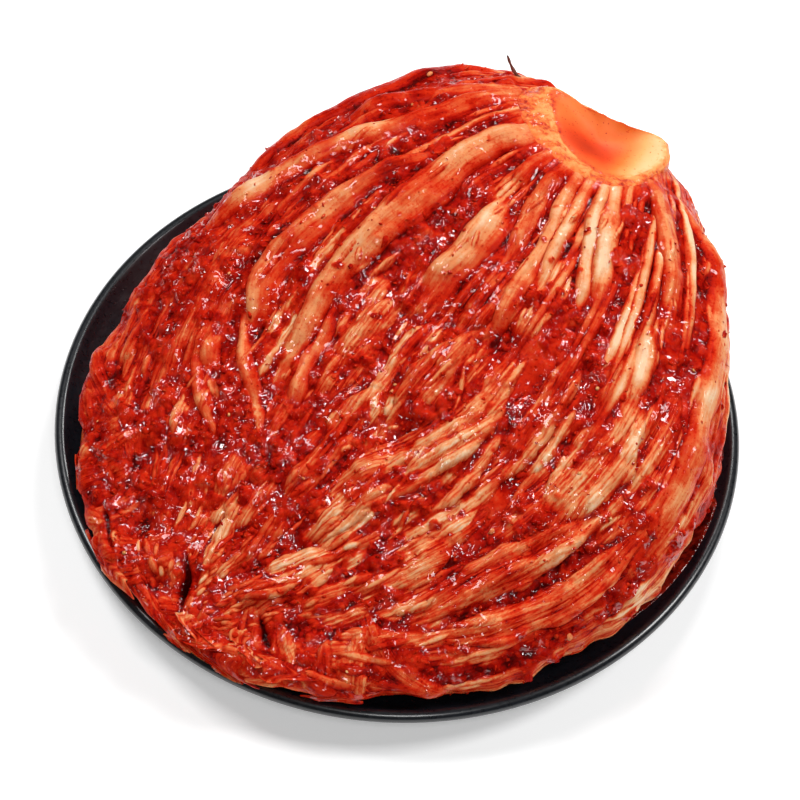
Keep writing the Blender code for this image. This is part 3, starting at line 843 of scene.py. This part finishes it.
def blade_end(relief, ground, angle, start, finish, half, lean):
    """Points, looks, grain and film of one thin ribbon that lies on the dome and curls at its tip."""
    across, upper = closed_across(-1.0, 1.0, END_ACROSS)
    share = np.linspace(0.0, 1.0, END_STATIONS)[:, None]
    taper = mix(0.35, 1.0, smooth(share * 2.5)) * np.sqrt(clipped((1.0 - share) * 2.2)) + 0.02
    ragged = 1.0 + 0.25 * wander(END_STATIONS, 0.001, 0.004)[:, None]
    place = mix(start, finish, share) + 0.0 * across
    bend = lean * share + 0.03 * wander(END_STATIONS, 0.001, 0.010)[:, None]
    turn = angle + bend + across * half * taper * ragged / 0.125
    centre = shell(turn, place)
    normal = unit(np.cross(shell(turn + 0.002, place) - centre, shell(turn, place + 0.002) - centre))
    outward = around(turn, 1.0, 0.6)
    normal = normal * np.sign((normal * outward).sum(axis=-1, keepdims=True))
    under = relief.sample(ground, *relief.chart.flat(turn, place))
    under = under * (1.0 - EDGE_CALM * edge_share(place)) * (1.0 - clipped(place - 1.0))
    phase = between(0.0, 2.0 * pi)
    wave = 0.5 + 0.5 * np.cos(across * half * taper / between(0.00035, 0.0006) + 5.0 * share + phase)
    ripple = np.cos(across * 2.2 + phase + 4.0 * share)
    curl = between(-0.3, 1.0) * 0.0018 * across ** 2 * share
    lift = 0.0004 + 0.0002 * wave + 0.0003 * ripple + curl + between(0.0, 0.0015) * share ** 3
    lift = mix(-0.0012, lift, smooth(share * 4.0))
    height = np.maximum(under, -0.001) + lift - 0.0006 * (1.0 - upper)
    points = centre + normal * height[..., None]
    floor = plate_top(np.hypot(points[..., 0], points[..., 1])) + 0.0006
    points[..., 2] = np.maximum(points[..., 2], floor)
    # Paler on the ribbon's pleat crests and ripples, darker in its pleat valleys: painted light and painted
    # shade.
    pale = between(0.25, 0.80) * (0.45 + 0.45 * wave + 0.2 * ripple)
    paste = clipped(0.35 + 0.45 * wander(END_STATIONS, 0.001, 0.006)[:, None])
    painted_shade = (1.0 - wave) * 0.35 * mix(1.0, 0.4, share)
    along = share * 0.05 + between(0.0, GRAIN_SPAN)
    grain = joined(along, across * half * taper + along[0, 0], 1.0)
    return points, joined(pale, paste, painted_shade), grain, normal


# ---- seasoning on the leaves

def flake_shape():
    """Thin lens with a seven-cornered edge."""
    edge = around(np.arange(7) * 2.0 * pi / 7, 1.0, 0.0)
    points = np.concatenate([edge, [[0.0, 0.0, 1.0], [0.0, 0.0, -1.0]]])
    faces = [(k, (k + 1) % 7, 7) for k in range(7)] + [((k + 1) % 7, k, 8) for k in range(7)]
    return points, np.array(faces)


def ball_shape(subdivisions):
    ball = bmesh.new()
    bmesh.ops.create_icosphere(ball, subdivisions=subdivisions, radius=1.0)
    points = np.array([vertex.co for vertex in ball.verts])
    faces = np.array([[vertex.index for vertex in face.verts] for face in ball.faces])
    ball.free()
    return points, faces


def scatter(name, shape, count, sizes, material, slot, weight, tilt, wobble, sink, looks):
    """One mesh of many small copies of a shape, laid on the leaves where weight is high."""
    template, faces = shape
    picks = chance.choice(weight.size, count, p=weight.ravel() / weight.sum())
    centre = surface.reshape(-1, 3)[picks]
    lean = unit(surface_normal.reshape(-1, 3)[picks] + tilt * chance.normal(size=(count, 3)))
    side = unit(np.cross(lean, chance.normal(size=(count, 3))))
    third = np.cross(lean, side)
    low, high = np.array(sizes)
    size = low + (high - low) * chance.random((count, 1)) ** 2.0 * between(0.75, 1.25, (count, 3))
    corners = len(template)
    warp = 1.0 + wobble * chance.normal(size=(count, corners, 1))
    local = template[None] * size[:, None, :] * warp
    points = centre[:, None] + local[..., :1] * side[:, None] + local[..., 1:2] * third[:, None]
    points += (local[..., 2:] - sink * size[:, None, 2:]) * lean[:, None]
    offsets = np.arange(count)[:, None, None] * corners
    look = mix(np.array(looks[0]), np.array(looks[1]), chance.random((count, 1)))
    grain = between(0.0, GRAIN_SPAN, (count, 1, 3)) + points
    grain[..., 2] = 0.2
    film = surface_film.reshape(-1, 3)[picks]
    add_piece(name, points, (faces[None] + offsets).reshape(-1, faces.shape[1]), material, slot=slot,
              fields={"look": np.repeat(look, corners, axis=0), "grain": grain,
                      "film": np.repeat(film, corners, axis=0)})


def add_seasoning(material, seed_material):
    step_line = np.gradient(surface, axis=0)
    step_reach = np.gradient(surface, axis=1)
    area = np.linalg.norm(np.cross(step_line, step_reach), axis=2)
    area[:, -60:] = 0.0
    paste = surface_look[..., 1]
    everywhere = area * (0.25 + paste)
    thick = area * (0.03 + paste ** 2)
    scatter("chilli_flakes", flake_shape(), 3200, ((0.0004, 0.0003, 0.0001), (0.0014, 0.0009, 0.0003)),
            material, "chilli_paste", everywhere, 0.45, 0.25, -0.5, ((0.30, 0.5, 0.0), (0.60, 0.8, 0.10)))
    scatter("paste_lumps", ball_shape(2), 500, ((0.0006, 0.0005, 0.0003), (0.0022, 0.0015, 0.0008)),
            material, "chilli_paste", thick, 0.30, 0.22, 0.1, ((0.10, 0.6, 0.0), (0.55, 1.0, 0.3)))
    scatter("garlic_bits", ball_shape(2), 10, ((0.0007, 0.0005, 0.0004), (0.0020, 0.0014, 0.0009)),
            material, "chilli_paste", thick, 0.40, 0.16, 0.0, ((0.75, 0.0, 0.0), (1.20, 0.3, 0.0)))
    scatter("chilli_seeds", flake_shape(), 16, ((0.0008, 0.0007, 0.0003), (0.0011, 0.0009, 0.0004)),
            seed_material, "chilli_paste", everywhere, 0.35, 0.05, -0.7, ((0.8, 0.0, 0.0), (1.0, 0.2, 0.0)))


# ---- stump

STUMP_TURNS = 256
RIM_MIDDLE = 0.0913
RIM_FALL = (0.12, 0.10)
SCOOP_DEPTH = 0.0060
SINK_DEPTH = 0.0120
SCOOP_RINGS = 30
BAND_RINGS = 18
WALL_RINGS = 22
WALL_TUCK = 0.010
FRONT_TUCK = 0.024
GROOVE_DEPTH = 0.0006
FLUTE_HEIGHT = 0.00030
NARROWEST_WALL = 0.004
# corners of the cut face's rim: along and across the face, from its centre
FACE_RIM = ((-0.0300, 0.0113), (-0.0253, 0.0047), (-0.0193, -0.0047), (-0.0128, -0.0135), (-0.0022, -0.0193),
            (0.0095, -0.0215), (0.0188, -0.0162), (0.0243, -0.0057), (0.0268, 0.0015), (0.0257, 0.0074),
            (0.0213, 0.0137), (0.0078, 0.0103), (-0.0011, 0.0099), (-0.0123, 0.0093), (-0.0234, 0.0119))
# width of the band around the rim, by direction in degrees
BAND_WIDTHS = ((-180, 0.0180), (-150, 0.0150), (-120, 0.0120), (-90, 0.0110), (-60, 0.0100), (-35, 0.0070),
               (-5, 0.0022), (30, 0.0012), (120, 0.0014), (150, 0.0080))


def polar_curve(points, turns):
    """Distance from the centre to a closed line of points, by direction."""
    points = np.array([*points, points[0]])
    spread = np.linspace(0, len(points) - 1, 40 * len(points))
    x, y = (np.interp(spread, np.arange(len(points)), part) for part in points.T)
    direction = np.arctan2(y, x)
    order = np.argsort(direction)
    return np.interp(turns, direction[order], np.hypot(x, y)[order], period=2.0 * pi)


def face_radius(facing):
    """Distance from the face's centre to its rim, with soft corners."""
    return sum(polar_curve(FACE_RIM, facing + turn) for turn in np.linspace(-0.10, 0.10, 5)) / 5


def band_width(facing):
    turns, widths = np.array(BAND_WIDTHS).T
    return np.interp(np.degrees(facing), turns, widths, period=360.0)


def rim_level(facing, radius):
    """Height of the tilted plane that the cut face's rim lies in."""
    return RIM_MIDDLE - radius * (RIM_FALL[0] * np.cos(facing) + RIM_FALL[1] * np.sin(facing))


def room_radius(turns):
    """Distance from the face's centre to the rim of the gap that the leaves leave, by direction."""
    line = np.linspace(-pi / 2, pi / 2, 400)
    rim = shell(*fan(line, heel_reach(line)))
    back = shell(FAN_AXIS + np.linspace(0.13, -0.13, 60), np.ones(60))
    return polar_curve(np.concatenate([rim, back])[:, :2] - FACE_CENTRE, turns)


def waves(turns, *parts):
    """Sum of sine waves around a ring; each part is a height, a count and a shift."""
    return sum(height * np.sin(turns * count + shift) for height, count, shift in parts)


def add_stump(material):
    """Rings from the middle of the hollow face to its rim, over the band around it and down the wall."""
    turns = np.linspace(-pi, pi, STUMP_TURNS + 1)
    facing = turns - FACE_TURN
    edge = face_radius(facing)
    width = band_width(facing)
    outer = edge + width * (1.0 + waves(turns, (0.06, 17.0, 0.0), (0.08, 29.0, 1.0), (0.05, 53.0, 0.0)))
    front = smooth((width - 0.0020) / 0.0030)
    ragged = waves(facing, (0.0003, 7.0, 0.0), (0.0001, 17.0, 0.5))
    start = rim_level(facing, edge) + ragged
    rings = []
    looks = []

    def spot(radius):
        return FACE_CENTRE[0] + radius * np.cos(turns), FACE_CENTRE[1] + radius * np.sin(turns)

    def ring(radius, height, *look):
        rings.append(joined(*spot(radius), height))
        looks.append(joined(*look))

    softness = 0.5 - 0.5 * np.cos(facing - 0.75)
    calm = sum(face_radius(facing + turn) for turn in np.linspace(-0.5, 0.5, 9)) / 9
    knobs = 0.5 + waves(facing, (0.25, 61.0, 0.0), (0.25, 37.0, 1.0))
    for share in np.linspace(0.0, 1.0, SCOOP_RINGS) ** 0.85:
        reach = mix(calm, edge, share ** 3) * share
        along = reach * np.cos(facing)
        across = reach * np.sin(facing)
        soft = 0.5 + 0.5 * cos(pi * share)
        depth = SCOOP_DEPTH * mix(1.0 - share ** 2.2, soft, softness)
        level = rim_level(facing, reach) + ragged * share ** 6
        # The hollow is painted darker red in a pocket off its middle, partly a stain and partly painted
        # shade, and yellower and lighter towards one end along the face, partly the core's own yellow and
        # partly painted light.
        red_stain_and_shade = np.exp(-((along + 0.004) / 0.014) ** 2 - ((across + 0.008) / 0.009) ** 2)
        crust = (1.0 - front) * smooth((share - 0.94) / 0.06) * knobs
        yellow_and_lit = smooth((along - 0.006) / 0.016) * mix(0.7, 1.0, share)
        tone = 0.46 + 0.44 * yellow_and_lit - 0.30 * red_stain_and_shade - 0.28 * crust
        ring(reach, level - depth, tone, 0.6 * front * smooth(share * 8.0 - 7.0), 0.0)
    x, y = spot(outer)
    dome = dome_height(np.arctan2(y, x), np.hypot(x, y))
    finish = mix(start - 0.0014, dome + 0.0002, front)
    for share in np.linspace(0.0, 1.0, BAND_RINGS)[1:]:
        flute = waves(turns, (1.0, 17.0, 1.5 * share), (1.0, 29.0, -2.0 * share), (1.0, 47.0, 0.0))
        flute = FLUTE_HEIGHT * front * share * flute
        level = mix(start, finish, smooth(share)) + 0.0012 * front * np.sin(pi * share) + flute
        # The band's tone follows its flutes: lighter on their ridges and darker in their grooves, as painted
        # light and painted shade.
        tone = 0.76 - 0.10 * share - 0.16 * front * share ** 2 + 140.0 * flute
        ring(edge + (outer - edge) * share, level, tone, mix(0.5, 1.0, front), 0.0)
    wall = mix(np.maximum(room_radius(turns), outer), outer + 0.002, front)
    tuck = mix(WALL_TUCK, FRONT_TUCK, front)
    for share in np.linspace(0.0, 1.0, WALL_RINGS)[1:]:
        groove = waves(turns, (1.0, 23.0, 3.0 * share), (1.0, 53.0, 0.0))
        reach = mix(outer, wall, smooth(share * 1.5)) - tuck * smooth(2.0 * share - 1.0)
        reach = np.maximum(reach + GROOVE_DEPTH * share * groove, NARROWEST_WALL)
        # Lighter where the wall bulges out between its grooves and darker in them: painted light and painted
        # shade.
        tone = 0.50 - 0.20 * share + 0.06 * groove
        ring(reach, mix(finish, rest_height(np.hypot(*spot(reach))), share), tone, mix(1.0, 0.7, share), 0.2)
    add_grid("stump_cut", np.array(rings), material, turned=True, replaced=("stump",), slot="stump_core",
             fields={"look": np.array(looks)})


def add_root_fibre(material):
    """The dry fibre that stands up at the left end of the stump."""
    share = np.linspace(0.0, 1.0, 24)[:, None]
    start = np.array((0.0440, 0.1322, 0.0765))
    tip = np.array((0.0351, 0.1283, 0.1000))
    sway = np.concatenate([np.sin(share * 7.0), np.cos(share * 5.0), 0.0 * share], axis=1)
    centre = mix(start, tip, share) + 0.0003 * sway
    turns = np.linspace(0.0, 2.0 * pi, 13)[:, None]
    radius = mix(0.0011, 0.00045, share) * (1.0 + 0.2 * np.sin(share * 23.0))
    side = unit(np.cross(tip - start, (0.0, 0.0, 1.0)))
    third = unit(np.cross(tip - start, side))
    points = centre[:, None] + radius[:, None] * (np.cos(turns) * side + np.sin(turns) * third)
    add_grid("root_fibre", points, material, slot="stump_core")


# ---- materials

class Value:
    """Output of a shader node; sums and products of values add the nodes that work them out."""

    def __init__(self, nodes, socket):
        self.nodes = nodes
        self.socket = socket

    def __add__(self, other):
        return self.nodes.math("ADD", self, other)

    def __sub__(self, other):
        return self.nodes.math("SUBTRACT", self, other)

    def __rsub__(self, other):
        return self.nodes.math("SUBTRACT", other, self)

    def __mul__(self, other):
        return self.nodes.math("MULTIPLY", self, other)

    def __abs__(self):
        return self.nodes.math("ABSOLUTE", self)

    def clamped(self):
        self.socket.node.use_clamp = True
        return self


class Nodes:
    """A material and the nodes that paint it."""

    def __init__(self, name):
        self.material = bpy.data.materials.new(name)
        self.material.use_nodes = True
        self.tree = self.material.node_tree
        self.shader = self.tree.nodes["Principled BSDF"]
        self.place = self.add("ShaderNodeTexCoord", "Object")

    def feed(self, node, inputs):
        """Links a node's inputs to values, or sets them to plain numbers and colours."""
        for key, value in inputs.items():
            if isinstance(value, Value):
                self.tree.links.new(value.socket, node.inputs[key])
            else:
                node.inputs[key].default_value = value

    def add(self, kind, output, inputs=None, **settings):
        node = self.tree.nodes.new(kind)
        for key, value in settings.items():
            setattr(node, key, value)
        self.feed(node, inputs or {})
        return Value(self, node.outputs[output])

    def math(self, operation, *terms):
        return self.add("ShaderNodeMath", 0, dict(enumerate(terms)), operation=operation)

    def field(self, name):
        """Vector that the mesh holds at its points."""
        return self.add("ShaderNodeAttribute", "Vector", attribute_name=name)

    def parts(self, vector):
        first = self.add("ShaderNodeSeparateXYZ", 0, {0: vector})
        return [Value(self, socket) for socket in first.socket.node.outputs]

    def noise(self, scale, detail=3.0, roughness=0.5, place=None):
        inputs = {"Vector": place or self.place, "Scale": scale, "Detail": detail, "Roughness": roughness}
        return self.add("ShaderNodeTexNoise", "Fac", inputs)

    def streaks(self, grain, pitches, detail, roughness=0.5):
        """Noise drawn out along the grain; pitches are its scales along and across."""
        place = self.add("ShaderNodeMapping", "Vector", {"Vector": grain, "Scale": (*pitches, 0.0)})
        return self.noise(1.0, detail, roughness, place)

    def cells(self, scale):
        """Rounded cells, for chopped bits: distance from a cell's middle, and the cell's random number."""
        inputs = {"Vector": self.place, "Scale": scale, "Randomness": 1.0}
        distance = self.add("ShaderNodeTexVoronoi", "Distance", inputs)
        colour = Value(self, distance.socket.node.outputs["Color"])
        return distance, self.add("ShaderNodeSeparateColor", 0, {0: colour})

    def ripples(self, turns):
        """Smooth wandering waves, as on a wet film."""
        return self.math("SINE", self.noise(RIPPLE_SCALE, 1.0) * turns)

    def ramp(self, factor, stops):
        colour = self.add("ShaderNodeValToRGB", "Color", {"Fac": factor})
        elements = colour.socket.node.color_ramp.elements
        while len(elements) < len(stops):
            elements.new(0.5)
        for element, (position, shade) in zip(elements, stops):
            element.position = position
            element.color = (*shade, 1.0)
        return colour

    def bump(self, height, distance, strength, **below):
        inputs = {"Distance": distance, "Strength": strength, "Height": height, **below}
        return self.add("ShaderNodeBump", "Normal", inputs)

    def finish(self, **inputs):
        """Feeds the shader and gives the material."""
        self.feed(self.shader, {key.replace("_", " "): value for key, value in inputs.items()})
        return self.material


# Colours of the leaves from the deepest paste to the palest rib, and of the other parts in the same way.
LEAF_STOPS = ((0.00, (0.075, 0.0005, 0.0003)), (0.20, (0.35, 0.0035, 0.0010)), (0.40, (0.59, 0.020, 0.0040)),
              (0.60, (0.69, 0.096, 0.027)), (0.80, (0.79, 0.29, 0.112)), (1.00, (0.86, 0.57, 0.35)))
STUMP_STOPS = ((0.00, (0.40, 0.012, 0.004)), (0.25, (0.74, 0.058, 0.010)), (0.50, (0.88, 0.20, 0.035)),
               (0.75, (0.91, 0.41, 0.13)), (1.00, (0.95, 0.70, 0.38)))
JUICE_STOPS = ((0.38, (0.035, 0.0006, 0.0006)), (0.66, (0.30, 0.012, 0.004)))
GLAZE_STOPS = ((0.35, (0.003, 0.004, 0.006)), (0.75, (0.011, 0.013, 0.018)))
FIBRE_STOPS = ((0.3, (0.10, 0.022, 0.012)), (0.7, (0.24, 0.10, 0.07)))
SEED_STOPS = ((0.3, (0.70, 0.22, 0.05)), (0.7, (0.90, 0.52, 0.20)))
RIPPLE_SCALE = 150.0
COVER = 0.86
KNEE = 0.75
KNEE_LOSS = 0.42


def leaf_material():
    """Wet leaf: paleness and fine streaks of the cabbage, under paste with chopped bits and a wet film, with
    painted shade in its valleys.
    """
    nodes = Nodes("leaf_flesh")
    pale, paste, painted_shade = nodes.parts(nodes.field("look"))
    grain = nodes.field("grain")
    fibre = nodes.parts(grain)[2]
    streak = nodes.streaks(grain, (60.0, 900.0), 1.5) - 0.5
    faint = nodes.streaks(grain, (22.0, 420.0), 3.0, 0.65) - 0.5
    blotch = nodes.noise(130.0, 4.0, 0.6)
    speck = ((nodes.noise(850.0, 2.0, 0.6) - 0.56) * 9.0).clamped()
    thread = (1.0 - abs(streak) * 12.0).clamped()
    stripes = streak * 0.55 + thread * 0.12
    tone = pale * 0.87 + stripes * fibre + (blotch - 0.5) * 0.85 - speck * 0.13 + faint * 0.42 + 0.14
    tone = tone - nodes.math("MAXIMUM", tone - KNEE, 0.0) * KNEE_LOSS
    crumb, tint = nodes.cells(430.0)
    crumb = crumb - 0.45
    # The sauce darkens towards the edges of the chopped bits, where the bump sinks between them: painted
    # shade.
    sauce = blotch * 0.62 + tint * 0.20 - crumb * 0.12 - 0.13
    cover = paste * COVER
    # Painted shade: the tone is darkened where the relief lies deep below its surroundings.
    tone = (tone * (1.0 - cover) + sauce * cover - painted_shade * 0.36).clamped()
    fine = nodes.bump(thread, 0.00020, fibre * 0.5)
    crumbs = nodes.bump(crumb, -0.0008, paste * 0.25, Normal=fine)
    wet = nodes.bump(nodes.ripples(26.0), 0.00058, paste * 0.5 + 0.25, Normal=nodes.field("film"))
    juicy = ((nodes.noise(150.0, 3.0, 0.65) - 0.510) * 14.0).clamped()
    film_weight = juicy * (paste * 0.65 + 0.30) + 0.015
    return nodes.finish(Base_Color=nodes.ramp(tone, LEAF_STOPS), Roughness=blotch * 0.20 + 0.25,
                        Normal=crumbs, Specular_IOR_Level=0.02,
                        Coat_Normal=wet, Coat_Weight=film_weight, Coat_Roughness=0.04, Coat_IOR=1.8,
                        Subsurface_Weight=0.12, Subsurface_Scale=0.0015,
                        Subsurface_Radius=(1.0, 0.20, 0.08))


def stump_material():
    """Cut cabbage: clean in the hollow, smeared and stained with wet paste on the band around it."""
    nodes = Nodes("stump_core")
    pale, paste, _ = nodes.parts(nodes.field("look"))
    patch = nodes.noise(520.0, 4.0, 0.7)
    stained = ((nodes.noise(150.0, 3.0, 0.6) - 0.42) * 6.0).clamped()
    smear = ((patch - 0.44) * 4.0).clamped() * (stained * 0.75 + 0.25)
    dots = ((nodes.noise(900.0, 2.0) - 0.66) * 8.0).clamped()
    tone = pale + (nodes.noise(70.0, 3.0) - 0.5) * 0.25 - smear * paste * 0.55 - stained * paste * 0.16
    tone = (tone - dots * 0.6).clamped()
    return nodes.finish(Base_Color=nodes.ramp(tone, STUMP_STOPS), Roughness=patch * 0.2 + 0.38,
                        Normal=nodes.bump(patch, 0.0012, paste * 0.75 + 0.05),
                        Coat_Weight=stained * paste * 0.60,
                        Coat_Normal=nodes.bump(nodes.noise(260.0, 1.0), 0.0016, 0.6), Coat_Roughness=0.06,
                        Subsurface_Weight=0.25, Subsurface_Scale=0.002, Subsurface_Radius=(1.0, 0.4, 0.2),
                        Specular_IOR_Level=0.25)


def plain_material(name, scale, stops, **settings):
    """Material with two shades in fine noise."""
    nodes = Nodes(name)
    return nodes.finish(Base_Color=nodes.ramp(nodes.noise(scale), stops), **settings)


def glaze_material():
    nodes = Nodes("plate_glaze")
    speck = nodes.noise(700.0, 2.0)
    tone = nodes.noise(40.0, 4.0) * 0.4 + speck * 0.6
    return nodes.finish(Base_Color=nodes.ramp(tone, GLAZE_STOPS), Roughness=speck * 0.16 + 0.22,
                        Normal=nodes.bump(speck, 0.0001, 0.3), Coat_Weight=0.3, Coat_Roughness=0.12)


def juice_material():
    nodes = Nodes("kimchi_juice")
    tone = nodes.noise(160.0, 4.0, 0.6)
    return nodes.finish(Base_Color=nodes.ramp(tone, JUICE_STOPS), Roughness=tone * 0.10 + 0.04,
                        Normal=nodes.bump(nodes.ripples(24.0), 0.0005, 0.5))


def floor_material():
    return Nodes("studio_floor").finish(Base_Color=(0.92, 0.92, 0.92, 1.0), Roughness=0.9,
                                        Specular_IOR_Level=0.1, Emission_Color=(1.0, 1.0, 1.0, 1.0),
                                        Emission_Strength=0.30)


# ---- plate

RIM_HALF_WIDTH = 0.0028
RIM_HALF_HEIGHT = 0.0026
PLATE_TURNS = 257
JUICE_TURNS = (radians(-56.0), radians(30.0))
JUICE_STATIONS = 240
JUICE_ACROSS = 16
JUICE_STEP = 0.0008
JUICE_SPILL = 0.0034
# height and span of each wave in the juice's edge
JUICE_WAVES = ((0.0022, 0.012), (0.0007, 0.003))
JUICE_TUCK = 0.014
JUICE_DEPTH = 0.0012
RIM_ROOM = 0.0058


def add_plate(material):
    """Coupe plate: its section from the middle over the rolled rim to the foot, turned around the axis."""
    profile = [(0.0, WELL_HEIGHT)]
    profile += [(radius, plate_top(radius)) for radius in np.linspace(0.03, PLATE_RADIUS - 0.0055, 30)]
    middle = (PLATE_RADIUS - RIM_HALF_WIDTH, RIM_HEIGHT - RIM_HALF_HEIGHT)
    for turn in np.linspace(radians(125.0), radians(-50.0), 12):
        profile.append((middle[0] + RIM_HALF_WIDTH * cos(turn), middle[1] + RIM_HALF_HEIGHT * sin(turn)))
    for radius in np.linspace(PLATE_RADIUS - 0.0070, FOOT_RADIUS + 0.006, 12):
        profile.append((radius, plate_top(radius) - PLATE_THICKNESS))
    profile += [(FOOT_RADIUS + 0.0015, WELL_HEIGHT - PLATE_THICKNESS), (FOOT_RADIUS, 0.0), (0.0, 0.0)]
    radius, height = np.array(profile).T
    turns = np.linspace(0.0, 2.0 * pi, PLATE_TURNS)[:, None]
    add_grid("plate_glazed", around(turns, radius, height), material,
             replaced=("plate",), slot="plate_glaze")


def add_juice(material):
    """Thin pool of juice that seeps out over the plate on the right."""
    turns = np.linspace(*JUICE_TURNS, JUICE_STATIONS)[:, None]
    ends = np.sqrt(np.sin(pi * np.linspace(0.0, 1.0, JUICE_STATIONS)))[:, None]
    foot = outline(turns)
    spill = JUICE_SPILL
    for height, span in JUICE_WAVES:
        spill = spill + height * wander(JUICE_STATIONS, JUICE_STEP, span)[:, None]
    spill = np.minimum(spill, PLATE_RADIUS - RIM_ROOM - foot)
    across, upper = closed_across(0.0, 1.0, JUICE_ACROSS)
    radius = mix(foot - JUICE_TUCK, foot + spill, across * ends)
    depth = mix(-0.0004, JUICE_DEPTH * np.sqrt(1.0 - across ** 3) * ends, upper)
    add_grid("plate_juice", around(turns, radius, plate_top(radius) + depth), material, slot="chilli_paste")


# ---- studio

CAMERA_RISE = radians(54.8709)
CAMERA_ROLL = radians(3.7344)
CAMERA_TARGET = Vector((0.000237, 0.000712, 0.030))
CAMERA_LENS = 110.7154
LAMP_TARGET = Vector((0.0, 0.0, 0.05))
# Soft lamps: name, place, size and power.
LAMPS = (
    ("key", (-0.58, 0.34, 1.22), 0.42, 9.6),
    ("back", (0.30, 0.90, 1.00), 0.30, 5.4),
    ("right", (0.82, 0.06, 1.02), 0.34, 7.8),
    ("front", (0.10, -0.72, 1.20), 0.25, 3.8),
)


def add_camera():
    data = bpy.data.cameras.new("camera")
    data.sensor_width = 36.0
    data.lens = CAMERA_LENS
    data.clip_start = 0.05
    camera = bpy.data.objects.new("camera", data)
    back = Vector((0.0, -cos(CAMERA_RISE), sin(CAMERA_RISE)))
    camera.location = CAMERA_TARGET + back
    turn = back.to_track_quat("Z", "Y") @ Quaternion((0.0, 0.0, 1.0), CAMERA_ROLL)
    camera.rotation_euler = turn.to_euler()
    bpy.context.scene.collection.objects.link(camera)
    bpy.context.scene.camera = camera


def add_light(name, place, size, power):
    data = bpy.data.lights.new(name, "AREA")
    data.size = size
    data.energy = power
    light = bpy.data.objects.new(name, data)
    light.location = place
    light.rotation_euler = (Vector(place) - LAMP_TARGET).to_track_quat("Z", "Y").to_euler()
    bpy.context.scene.collection.objects.link(light)


def add_studio(material):
    mesh = bpy.data.meshes.new("floor")
    mesh.from_pydata([(-4, -4, 0), (4, -4, 0), (4, 4, 0), (-4, 4, 0)], [], [(0, 1, 2, 3)])
    mesh.materials.append(material)
    floor = bpy.data.objects.new("floor", mesh)
    scene = bpy.context.scene
    scene.collection.objects.link(floor)
    world = bpy.data.worlds.new("studio")
    world.use_nodes = True
    background = world.node_tree.nodes["Background"]
    background.inputs["Color"].default_value = (1.0, 1.0, 1.0, 1.0)
    background.inputs["Strength"].default_value = 0.06
    scene.world = world
    for name, place, size, power in LAMPS:
        add_light(name, place, size, power)
    scene.view_settings.view_transform = "Standard"


LINE_SHARES, LINE_ANGLES, HALF_SPAN = line_table()
add_camera()
add_studio(floor_material())
add_plate(glaze_material())
relief = build_relief(Chart())
flesh = leaf_material()
surface, surface_normal, surface_look, surface_film = add_leaves(relief, flesh)
add_blade_ends(relief, flesh)
add_seasoning(flesh, plain_material("chilli_seed", 500.0, SEED_STOPS, Roughness=0.25, Coat_Weight=0.6,
                                    Coat_Roughness=0.05))
add_stump(stump_material())
add_root_fibre(plain_material("dry_fibre", 400.0, FIBRE_STOPS, Roughness=0.7))
add_juice(juice_material())
